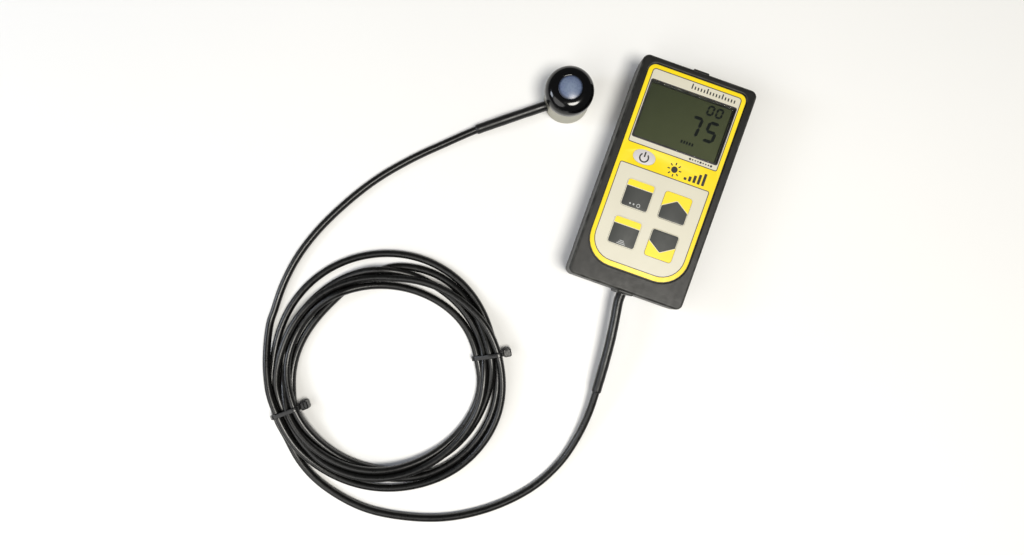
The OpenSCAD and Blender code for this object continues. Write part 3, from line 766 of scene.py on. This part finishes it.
def tie_head_mesh(degrees, r_near, away):
    """The tie's locking head: a rounded block with its slot, pawl and the cut end of the strap."""
    long, wide, low, high = 4.5, 4.7, 1.2, 6.3
    block = centred(long, wide, 1.0, 5, 2)
    smaller = centred(long - 1, wide - 1, 0.7, 5, 2)
    slot = outline(-1.0, 0.5, -1.55, 1.55, 0.2, steps=5, side=2)
    body = [(smaller, low), (block, low + 0.45), (block, high - 0.45), (smaller, high), (slot, high),
            (slot, high - 2.2)]
    pawl = [(outline(-0.1, 0.5, -1.2, 1.2, 0.15, steps=3, side=1), high - 2.3),
            (outline(-0.7, 0.4, -1.2, 1.2, 0.15, steps=3, side=1), high - 0.7)]
    cut_end = outline(-0.95, 0.05, -1.3, 1.3, 0.2, steps=3, side=1)
    out, side = heading(degrees), heading(degrees + 90)
    middle = COIL_CENTRE + out * (r_near + away * long / 2)
    meshes = []
    for rings in (body, pawl, [(cut_end, high - 2.0), (cut_end, high + 0.75)]):
        points, faces = loft(rings)
        meshes.append(mesh_of([(*(middle + away * out * x + side * y), z) for x, y, z in points], faces))
    return joined(meshes)


def add_tie(name, away, angle, r, z):
    """A tie round the turns near its angle, with its head inside (away is -1) or outside (1)."""
    degrees = TIES[name]
    off = (angle - degrees + 180) % 360 - 180
    here = (abs(off) < COIL_STEP / 2) & (r < OUTERMOST)
    strap, path = strap_mesh(degrees, list(zip(r[here], z[here])))
    edge = away * (away * path[:, 0]).max() + away * (TIE_T / 2 - 0.3)
    head = tie_head_mesh(degrees, edge, away)
    return piece(name + "_strap", joined([strap, head]), "tie_nylon", replaces=(name,), sharp=30)


angle, coil_r, coil_z = coil_track()
route = cable_line(angle, coil_r, coil_z)
cable = add_cable(route)
carried = [add_sleeve("meter_shrink_sleeve", "meter_sleeve", METER_LEAD, METER_SLEEVE_POINTS),
           add_sleeve("sensor_shrink_sleeve", "sensor_sleeve", SENSOR_LEAD, SENSOR_SLEEVE_POINTS),
           add_tie("tie_left", -1, angle, coil_r, coil_z),
           add_tie("tie_right", 1, angle, coil_r, coil_z)]

# ---------------------------------------------------------------- meter case

FRONT = box_mm("front_shell")
LABEL = box_mm("label_overlay")
WINDOW = box_mm("display_window")
COVER = box_mm("battery_cover")
CELL_Y = sum(box_mm("coin_cell"))[1] / 2
COVER_SCREW_Y = COVER[0][1] + 4
PAD_OUT = 0.8
HALF_W = FRONT[1][0]
HALF_L = FRONT[1][1] - PAD_OUT
FACE_Z = FRONT[1][2]
SEAM_Z = FRONT[0][2]
LABEL_FLOOR = LABEL[0][2]
LABEL_TOP = LABEL[1][2]
ROOF_Z = FACE_Z - 2.6
WALL = 2.2
CORNER_R = 4
GROOVE = 0.35
DRAFT = 0.3
FACE_EDGE = 1.3
BORE_R = 3.4
CABLE_X = 1
BOSSES = [(x * 26.55, y * 56.5) for x in (-1, 1) for y in (-1, 1)]
BOARD_BOSSES = [(x * 27.2, y) for x in (-1, 1) for y in (12.5, -48)]
KEY_MIDDLES = {name: sum(box_mm(name)) / 2 for name in frame["nodes"] if name.startswith("key_")}


def case_outline(inset):
    """The case seen from the front, its sides moved in."""
    return centred(2 * (HALF_W - inset), 2 * (HALF_L - inset), max(CORNER_R - inset, 1.0), 8, 8)


def label_outline(grow):
    return round_box(LABEL, grow, 4 + grow, 15 + grow)


def window_outline(grow, r):
    return round_box(WINDOW, grow, r)


def outer_wall(face, seam):
    """Rings from the seam's groove to the flat face: the wall, its draft and its rounded edge."""
    way = 1 if face > seam else -1
    rings = [(case_outline(inset), seam + way * up) for inset, up in
             ((GROOVE, 0), (GROOVE, GROOVE), (0.15, GROOVE), (0, GROOVE + 0.15), (0.02, GROOVE + 0.6))]
    rings.append((case_outline(DRAFT - 0.02), face - way * (FACE_EDGE + 0.5)))
    for c, s in map(heading, np.linspace(0, 90, 7)):
        rings.append((case_outline(DRAFT + FACE_EDGE * (1 - c)), face - way * FACE_EDGE * (1 - s)))
    return rings + [(case_outline(DRAFT + FACE_EDGE + 0.4), face)]


def end_pads(base, top):
    """The small pads that stand out of the two end walls, with rounded edges."""
    way = 1 if top > base else -1
    pads = []
    for x, end in ((CABLE_X, -1), (0, 1)):
        outside, inside = end * (HALF_L + PAD_OUT), end * (HALF_L - 2)
        box = ((x - 4.5, min(outside, inside)), (x + 4.5, max(outside, inside)))
        pads.append(mesh_of(*loft([(round_box(box, -inset, 0.7, steps=5, side=2), z) for inset, z in
                                   ((0, base), (0, top - way * 0.7), (0.08, top - way * 0.4),
                                    (0.3, top - way * 0.1), (0.6, top))])))
    return pads


def mark_wear(mesh, low=0.12, high=0.97):
    """Wear is 1 where the surface turns round an edge, and 0 on the flats and beside wide faces."""
    worn = [low < abs(vertex.normal.z) < high for vertex in mesh.vertices]
    for face in mesh.polygons:
        if face.area > 15 and abs(face.normal.z) > high:
            for k in face.vertices:
                worn[k] = False
    wear = mesh.attributes.new("wear", "FLOAT", "POINT")
    wear.data.foreach_set("value", [float(value) for value in worn])
    return mesh


def cable_bore(outer_y, inner_y, r):
    """A level rod along the cable, through the seam."""
    return rod((CABLE_X, outer_y, SEAM_Z), (CABLE_X, inner_y, SEAM_Z), r)


def add_half(name, node, rings, solids, holes):
    """A half of the case: a closed loft, with solids added and holes cut, the grommet's among them."""
    mesh = combined(mesh_of(*loft(rings, closed=True)), solids, "UNION")
    holes = holes + [cable_bore(-HALF_L - 4, -HALF_L + WALL + 0.3, BORE_R)]
    piece(name, mark_wear(combined(mesh, holes, "DIFFERENCE")), "case_plastic", replaces=(node,))


def add_front_case():
    rings = outer_wall(FACE_Z, SEAM_Z)
    rings += [(label_outline(grow), z) for grow, z in
              ((1.3, FACE_Z), (0.95, FACE_Z), (0.78, FACE_Z - 0.07), (0.7, FACE_Z - 0.25),
               (0.7, LABEL_FLOOR))]
    rings += [(window_outline(grow, r), z) for grow, r, z in
              ((0.3, 1, LABEL_FLOOR), (0.2, 1, LABEL_FLOOR - 0.1), (0.2, 1, WINDOW[0][2]),
               (-0.8, 0.8, WINDOW[0][2]), (-0.8, 0.8, ROOF_Z))]
    rings += [(case_outline(WALL), ROOF_Z), (case_outline(WALL), SEAM_Z)]
    solids = posts(BOSSES, SEAM_Z, ROOF_Z + 0.1, 3.6) + posts(BOARD_BOSSES, 14.8, ROOF_Z + 0.1, 2.4)
    solids += end_pads(SEAM_Z + GROOVE, FACE_Z - 1.05)
    holes = posts([middle[:2] for middle in KEY_MIDDLES.values()], ROOF_Z - 1, FACE_Z, 1.8)
    holes += posts(BOSSES, SEAM_Z - 1, 20, 1.3) + posts(BOARD_BOSSES, 14, 20, 0.9)
    add_half("case_front", "front_shell", rings, solids, holes)


def add_rear_case():
    """The rear half: the cover's recess and the cell's bay, then the inside and the lip of the seam."""
    bay = outline(-15, 15, CELL_Y - 14.3, CELL_Y + 14.3, 3)
    under_bay = COVER[1][2] + 1.5
    rings = outer_wall(0, SEAM_Z)
    rings += [(round_box(COVER, grow, r), z) for grow, r, z in
              ((0.9, 3.9, 0), (0.5, 3.5, 0), (0.28, 3.28, 0.08), (0.2, 3.2, 0.3), (0.2, 3.2, COVER[1][2]))]
    rings += [(bay, COVER[1][2]), (bay, under_bay)]
    rings += [(round_box(COVER, 2, 4), z) for z in (under_bay, WALL)]
    rings += [(case_outline(inset), z) for inset, z in
              ((WALL, WALL), (WALL, SEAM_Z), (1.5, SEAM_Z), (1.5, SEAM_Z - 1), (0.8, SEAM_Z - 1),
               (0.8, SEAM_Z))]
    clamp_seat = outline(-6.5, 8.5, -58.4, -54.6, 0.5, steps=3, side=1)
    solids = posts(BOSSES, WALL - 0.1, SEAM_Z, 3.6) + posts([(0, COVER_SCREW_Y)], WALL - 0.1, 9, 3.2)
    solids.append(mesh_of(*loft([(clamp_seat, WALL - 0.1), (clamp_seat, SEAM_Z)])))
    solids += end_pads(SEAM_Z - GROOVE, 1.05)
    holes = posts(BOSSES, -1, 2.4, 2.9) + posts(BOSSES, 1, SEAM_Z + 1, 1.6)
    holes += posts(BOSSES, -0.01, 0.3, 3.2, tip=2.9) + posts([(0, COVER_SCREW_Y)], -1, 8.4, 1.3)
    add_half("case_rear", "rear_shell", rings, solids, holes + [cable_bore(-59, -54, 2.12)])


def add_battery_door():
    base, top, grip_y = COVER[0][2], COVER[1][2], COVER[1][1] - 6
    mesh = mesh_of(*loft([(round_box(COVER, -inset, 3 - inset), z) for inset, z in
                          ((0.35, base), (0.1, base + 0.1), (0, base + 0.35), (0, top - 0.2), (0.2, top))]))
    screw = [(0, COVER_SCREW_Y)]
    cuts = posts(screw, base - 1, base + 1.2, 2.6) + posts(screw, base - 1, top + 1, 1.3)
    cuts += posts(screw, base - 0.01, base + 0.25, 2.85, tip=2.6)
    for y in (grip_y - 2 * i for i in range(5)):
        groove = ((-7, y), (7, y + 0.9))
        cuts.append(mesh_of(*loft([(round_box(groove, g, 0.45 + g, steps=4, side=1), base + z)
                                   for g, z in ((0.1, -0.05), (0, 0.1), (0, 0.4))])))
    mesh = mark_wear(combined(mesh, cuts, "DIFFERENCE"))
    piece("battery_door_panel", mesh, "case_plastic", body="battery_door", replaces=("battery_cover",))


add_front_case()
add_rear_case()
add_battery_door()

# ---------------------------------------------------------------- label

PANEL_T = 0.03
LINE_T = 0.045
PRINT_T = 0.06
# Each panel's sides, then its upper and lower corner radius.
UPPER = (-25.2, 25.2, 15.0, 56.5, 1.8, 1.0)
LOWER = (-25.3, 25.3, -49.2, 3.3, 1.0, 12.5)
KEY_NAMES = ("key_sample", "key_mode", "key_up", "key_down")


def panel_outline(panel, grow=0.0, rounder=0.0):
    x0, x1, y0, y1, top_r, bottom_r = panel
    return outline(x0 - grow, x1 + grow, y0 - grow, y1 + grow, top_r + rounder, bottom_r + rounder)


def key_outline(name, grow):
    return round_box(box_mm(name), grow, 1.6 + grow, steps=6, side=1)


def power_outline(name, grow):
    """Oval of the power key: bulging sides with round ends."""
    low, high = box_mm(name)
    x, y = ((low + high) / 2)[:2]
    half_w, half_h = ((high - low) / 2)[:2] + grow
    return [(x + half_w * math.copysign(abs(c) ** 0.92, c), y + half_h * math.copysign(abs(s) ** 0.92, s))
            for c, s in map(heading, np.linspace(0, 360, 65)[:-1])]


def label_film(name, loops, thickness, look, **more):
    film(name, loops, LABEL_TOP, LABEL_TOP + thickness, look, slot="label_print", **more)


def add_label():
    holes = [window_outline(0.2, 1)] + [key_outline(name, 0.06) for name in KEY_NAMES]
    film("label", [label_outline(0)], LABEL_FLOOR, LABEL_TOP, "label_print", edge=0.1,
         holes=holes + [power_outline("key_power", 0.06)], replaces=("label_overlay",))
    label_film("label_panel_upper", [panel_outline(UPPER)], PANEL_T, "label_beige",
               holes=[window_outline(0.5, 1.2)])
    label_film("label_panel_lower", [panel_outline(LOWER)], PANEL_T, "label_beige",
               holes=[key_outline(name, 0.08) for name in KEY_NAMES])
    lines = [[panel_outline(panel, side * 0.22, side * 0.2) for side in (1, -1)] for panel in (UPPER, LOWER)]
    # The dark frame round the window is partly a printed border and partly painted shade along the window's
    # sunken edge.
    lines.append((window_outline(0.55, 1.2), window_outline(0.06, 0.95)))
    frames = [film_mesh([outside], LABEL_TOP, LABEL_TOP + LINE_T, [inside]) for outside, inside in lines]
    piece("label_outlines", joined(frames), "label_ink", slot="label_print")


def add_label_marks():
    """Plain marks where such a label carries its name and units: a scale, dots, and a sun with bars."""
    marks = []
    for i in range(15):
        tall = 2.9 if i % 5 == 0 else 1.8
        marks.append(bar(-2.2 + 1.72 * i, 52.6 + tall / 2, 0.7, tall, 0.2))
    marks += [disc(9.6 + 1.5 * i, 16.6, 0.42 if i % 4 else 0.62, 16) for i in range(9)]
    sun = np.array((3.6, 8.3))
    marks.append(disc(*sun, 1.75, 28))
    marks += [bar(*(sun + 3.2 * heading(turn)), 1.5, 0.62, 0.25, turn) for turn in range(0, 360, 45)]
    for i in range(5):
        tall = 1.4 + 1.35 * i
        marks.append(bar(10.6 + 2.5 * i, 5.0 + tall / 2, 1.5, tall, 0.3))
    label_film("label_marks", marks, PRINT_T, "label_black")


add_label()
add_label_marks()

# ---------------------------------------------------------------- keys

KEY_TOP = box_mm("key_sample")[1][2]
KEY_FILM_LOW = KEY_TOP - 0.3
PRINT_ON_KEY = 0.03


def body_of(key):
    return key.replace("key_", "") + "_button"


def add_key(name, shape, look):
    """A key's film and the plunger under it, on the key's own body."""
    base = box_mm(name)[0][2]
    pad = film_mesh([shape(name, 0)], KEY_FILM_LOW, KEY_TOP, edge=0.09)
    plunger = mesh_of(*lathe([(0, base), (1.3, base), (1.5, base + 0.2), (1.5, KEY_FILM_LOW + 0.1),
                              (0, KEY_FILM_LOW + 0.1)], KEY_MIDDLES[name][:2], 32))
    piece(name + "_pad", joined([pad, plunger]), look, body=body_of(name), replaces=(name,))


def print_on(name, what, loops, look, slot, holes=(), level=1):
    film(f"{name}_{what}", loops, KEY_TOP, KEY_TOP + level * PRINT_ON_KEY, look, holes=holes,
         body=body_of(name), slot=slot)


def arrow(name, up):
    """The dark field of an arrow key: a square whose one side comes to a blunt point."""
    low, high = box_mm(name)
    left, right, middle = low[0] + 0.25, high[0] - 0.25, (low[0] + high[0]) / 2
    base, shoulder, tip = low[1] + 0.25, high[1] - 8.4, high[1] - 3.6
    points = [(left, base, 1.2), (right, base, 1.2), (right, shoulder, 0.8), (middle, tip, 1.0),
              (left, shoulder, 0.8)]
    if not up:
        points = [(x, low[1] + high[1] - y, r) for x, y, r in points][::-1]
    return round_corners(points, 5)


def add_square_key(name, marks, holes):
    """A dark key with a yellow strip, a pale rim and divider, and a small mark of its own."""
    add_key(name, key_outline, "key_grey")
    low, high = box_mm(name)
    strip = round_box(((low[0], high[1] - 4.14), high), -0.36, 1.2, 0.15, steps=5, side=1)
    print_on(name, "strip", [strip], "label_print", "label_print")
    edge = key_outline(name, 0)
    print_on(name, "rim", [grown(edge, -0.02)], "label_beige", "label_print", holes=[grown(edge, -0.42)])
    divider = bar((low[0] + high[0]) / 2, high[1] - 3.95, high[0] - low[0] - 0.8, 0.3, 0.1)
    print_on(name, "divider", [divider], "label_beige", "label_print")
    print_on(name, "mark", marks, "key_ink", "key_grey", holes)


def add_arrow_key(name, up):
    add_key(name, key_outline, "key_grey")
    field = arrow(name, up)
    print_on(name, "ground", [grown(key_outline(name, 0), -0.12)], "label_print", "label_print", [field])
    print_on(name, "rim", [grown(field, 0.15)], "label_beige", "label_print", [grown(field, -0.15)], 1.5)


def add_keys():
    x, y = KEY_MIDDLES["key_sample"][:2] - (0, 5.35)
    dots = [disc(x - 2.6, y, 0.5), disc(x - 0.6, y, 0.5), disc(x + 2.1, y, 1.05)]
    add_square_key("key_sample", dots, [disc(x + 2.1, y, 0.7)])
    x, y = KEY_MIDDLES["key_mode"][:2] - (0, 5.6)
    bars = [bar(x, y + up, w, 0.42, 0.15) for up, w in ((-0.85, 4.8), (0, 3.6), (0.85, 2.4))]
    add_square_key("key_mode", bars, ())
    add_arrow_key("key_up", True)
    add_arrow_key("key_down", False)
    add_key("key_power", power_outline, "key_white")
    x, y = KEY_MIDDLES["key_power"][:2]
    ring_and_bar = [open_ring(x, y - 0.3, 2.35, 0.8, 130, 410), bar(x, y + 1.5, 0.8, 2.9, 0.25)]
    print_on("key_power", "mark", ring_and_bar, "label_black", "key_white")


def add_domes():
    """Snap domes on the board."""
    for name in (*KEY_NAMES, "key_power"):
        short = name.replace("key_", "")
        low, high = box_mm("dome_" + short)
        x, y = ((low + high) / 2)[:2]
        base, r, rim = low[2], 2.95, 0.1
        tall = high[2] - base - 0.02
        profile = [(0, base), (r - 0.2, base), (r, base + rim)]
        profile += [(r * math.cos(a), base + rim + (tall - rim) * math.sin(a))
                    for a in np.linspace(0.15, 1.45, 7)]
        dome = piece("snap_" + short, mesh_of(*lathe(profile + [(0, base + tall)], (x, y), 40)), "steel",
                     replaces=("dome_" + short,))
        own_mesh(dome)


add_keys()
add_domes()

# ---------------------------------------------------------------- display

SEGMENTS = {"0": "abcdef", "5": "acdfg", "7": "abc"}
SLANT = 0.09


def digit(mark, x, y, w, h, thick):
    """Seven-segment digit with its lower left corner at (x, y), leaning right."""
    gap, half = 0.05, thick / 2
    places = {"a": ((0, h), (w, h)), "b": ((w, h), (w, h / 2)), "c": ((w, h / 2), (w, 0)),
              "d": ((0, 0), (w, 0)), "e": ((0, h / 2), (0, 0)), "f": ((0, h), (0, h / 2)),
              "g": ((0, h / 2), (w, h / 2))}
    loops = []
    for segment in SEGMENTS[mark]:
        a, b = (np.array(p, float) for p in places[segment])
        along = unit(b - a)
        side = np.array((-along[1], along[0])) * half
        a, b, end = a + along * gap, b - along * gap, along * half
        shape = [a, a + end - side, b - end - side, b, b - end + side, a + end + side]
        loops.append([(x + px + SLANT * py, y + py) for px, py in shape])
    return loops


def add_display():
    glass_top = box_mm("lcd_glass")[1][2]
    loops = [loop for mark, x in (("7", 3.6), ("5", 13.1)) for loop in digit(mark, x, 29.6, 5.0, 10.2, 1.6)]
    loops += [loop for x in (10.4, 15.4) for loop in digit("0", x, 43.4, 2.9, 4.7, 1.0)]
    loops += [bar(2.6 + 1.55 * i, 24.9, 0.9, 1.6, 0.12) for i in range(5)]
    film("lcd_segments", loops, glass_top, glass_top + 0.03, "lcd_segment", slot="lcd")
    shadow = [[(x - 0.28, y - 0.34) for x, y in loop] for loop in loops]
    film("lcd_segment_shadows", shadow, glass_top, glass_top + 0.01, "lcd_shadow", slot="lcd")
    film("window", [window_outline(0, 0.8)], WINDOW[0][2], WINDOW[1][2], "window_clear", edge=0.04,
         replaces=("display_window",))


add_display()

# ---------------------------------------------------------------- sensor head

BODY = box_mm("sensor_body")
HEAD = (BODY[0] + BODY[1])[:2] / 2
BODY_R = (BODY[1] - BODY[0])[0] / 2
SPIGOT_TOP = BODY[1][2]
BODY_TOP = 17.5
CAP_R = box_mm("sensor_cap")[1][0] - HEAD[0]
CAP_TOP = box_mm("sensor_cap")[1][2]
PORT_ANGLE = 218
PORT_Z = 5.2


def add_sensor_body():
    """A turned body with a threaded hole in its base and the cable's port in its side."""
    thread = [(r, 5.6 - 0.62 * i - drop) for i in range(9) for r, drop in ((2.0, 0), (2.25, 0.31))]
    outside = [(0.6, 0), (0.12, 0.38), (0, 0.8), (0, 1.3), (0, BODY_TOP - 0.6), (0, BODY_TOP - 0.3),
               (0.1, BODY_TOP - 0.09), (0.3, BODY_TOP), (1.2, BODY_TOP), (1.2, SPIGOT_TOP - 0.3),
               (1.5, SPIGOT_TOP)]
    profile = [(0, 6)] + thread + [(2.1, 0.35), (2.5, 0)] + [(BODY_R - inset, z) for inset, z in outside]
    profile += [(9.9, SPIGOT_TOP), (9.9, 8), (0, 8)]
    out = np.array((*heading(PORT_ANGLE), 0))
    centre = np.array((*HEAD, PORT_Z))
    cuts = [rod(centre + out * start, centre + out * end, r, tip=tip) for start, end, r, tip in
            ((10.8, 16, 3.4, None), (4.8, 15, 2.12, None), (BODY_R - 0.35, BODY_R + 0.6, 3.4, 4.4))]
    mesh = mark_wear(combined(mesh_of(*lathe(profile, HEAD, 128)), cuts, "DIFFERENCE"))
    piece("sensor_housing", mesh, "sensor_metal", replaces=("sensor_body",))


def add_sensor_cap():
    r = 6.4         # of the rounded shoulder
    shoulder = [(CAP_R - r + r * math.sin(a), CAP_TOP - r + r * math.cos(a))
                for a in np.linspace(0, math.pi / 2, 20)]
    profile = [(BODY_R - 1.18, BODY_TOP), (BODY_R - 1.18, SPIGOT_TOP + 0.02), (8.6, SPIGOT_TOP + 0.02),
               (8.6, 23.5), (6.62, 23.5), (6.62, CAP_TOP - 0.2), (6.68, CAP_TOP - 0.06), (6.82, CAP_TOP)]
    profile += shoulder + [(CAP_R, BODY_TOP + 0.9), (CAP_R, BODY_TOP + 0.35), (CAP_R - 0.1, BODY_TOP + 0.1),
                           (CAP_R - 0.35, BODY_TOP)]
    piece("sensor_dome_cap", mesh_of(*lathe(profile, HEAD, 160)), "cap_plastic", replaces=("sensor_cap",))


def add_diffuser():
    rim, crown = 6.6, 1.0
    sphere = (rim ** 2 + crown ** 2) / (2 * crown)
    top = box_mm("diffuser")[1][2]
    dome = [(x, top - sphere + math.sqrt(sphere ** 2 - x ** 2)) for x in np.linspace(rim - 0.25, 0, 16)]
    profile = [(0, 22), (8.5, 22), (8.5, 23.4), (rim, 23.4), (rim, top - crown - 0.25),
               (rim - 0.07, top - crown - 0.05)]
    lens = mesh_of(*lathe(profile + dome, HEAD, 128))
    piece("diffuser_lens", lens, "diffuser_acrylic", replaces=("diffuser",))


add_sensor_body()
add_sensor_cap()
add_diffuser()

# ---------------------------------------------------------------- floor and light

MIDDLE = Vector((-0.06, -0.08, 0))


def add_floor():
    n = Nodes("floor")
    colour = n.blend(n.span(n.noise(3.0, 2.0)), (0.83, 0.83, 0.825), (0.86, 0.86, 0.855))
    mesh = bpy.data.meshes.new("floor")
    mesh.from_pydata([(-2, -2, 0), (2, -2, 0), (2, 2, 0), (-2, 2, 0)], [], [(0, 1, 2, 3)])
    mesh.materials.append(n.surface(colour, n.span(n.noise(40.0), 0.55, 0.65), Specular_IOR_Level=0.2))
    floor = placed("floor", mesh)
    floor.location = (MIDDLE.x, MIDDLE.y, -0.00005)


def add_light(name, direction, distance, size, power, colour):
    """A round area light in that direction from the middle of the object, turned towards it."""
    way = Vector(direction).normalized()
    data = bpy.data.lights.new(name, "AREA")
    data.shape = "DISK"
    data.size = size
    data.energy = power
    data.color = colour
    light = placed(name, data)
    light.location = MIDDLE + way * distance
    light.rotation_euler = way.to_track_quat("Z", "Y").to_euler()


def add_world(colour, strength):
    world = bpy.data.worlds.new("studio")
    world.use_nodes = True
    background = world.node_tree.nodes["Background"]
    background.inputs["Color"].default_value = (*colour, 1)
    background.inputs["Strength"].default_value = strength
    bpy.context.scene.world = world


add_floor()
add_world((0.97, 0.985, 1.0), 0.1)
add_light("key", (0.286, -0.112, 0.951), 1.12, 0.46, 11.6, (1.0, 0.97, 0.9))
add_light("side", (-0.822, -0.206, 0.531), 1.0, 0.3, 2.6, (0.82, 0.88, 1.0))
add_light("soft", (-0.377, -0.582, 0.721), 1.2, 1.0, 5.0, (1.0, 0.99, 0.97))
bpy.context.scene.view_settings.view_transform = "Standard"
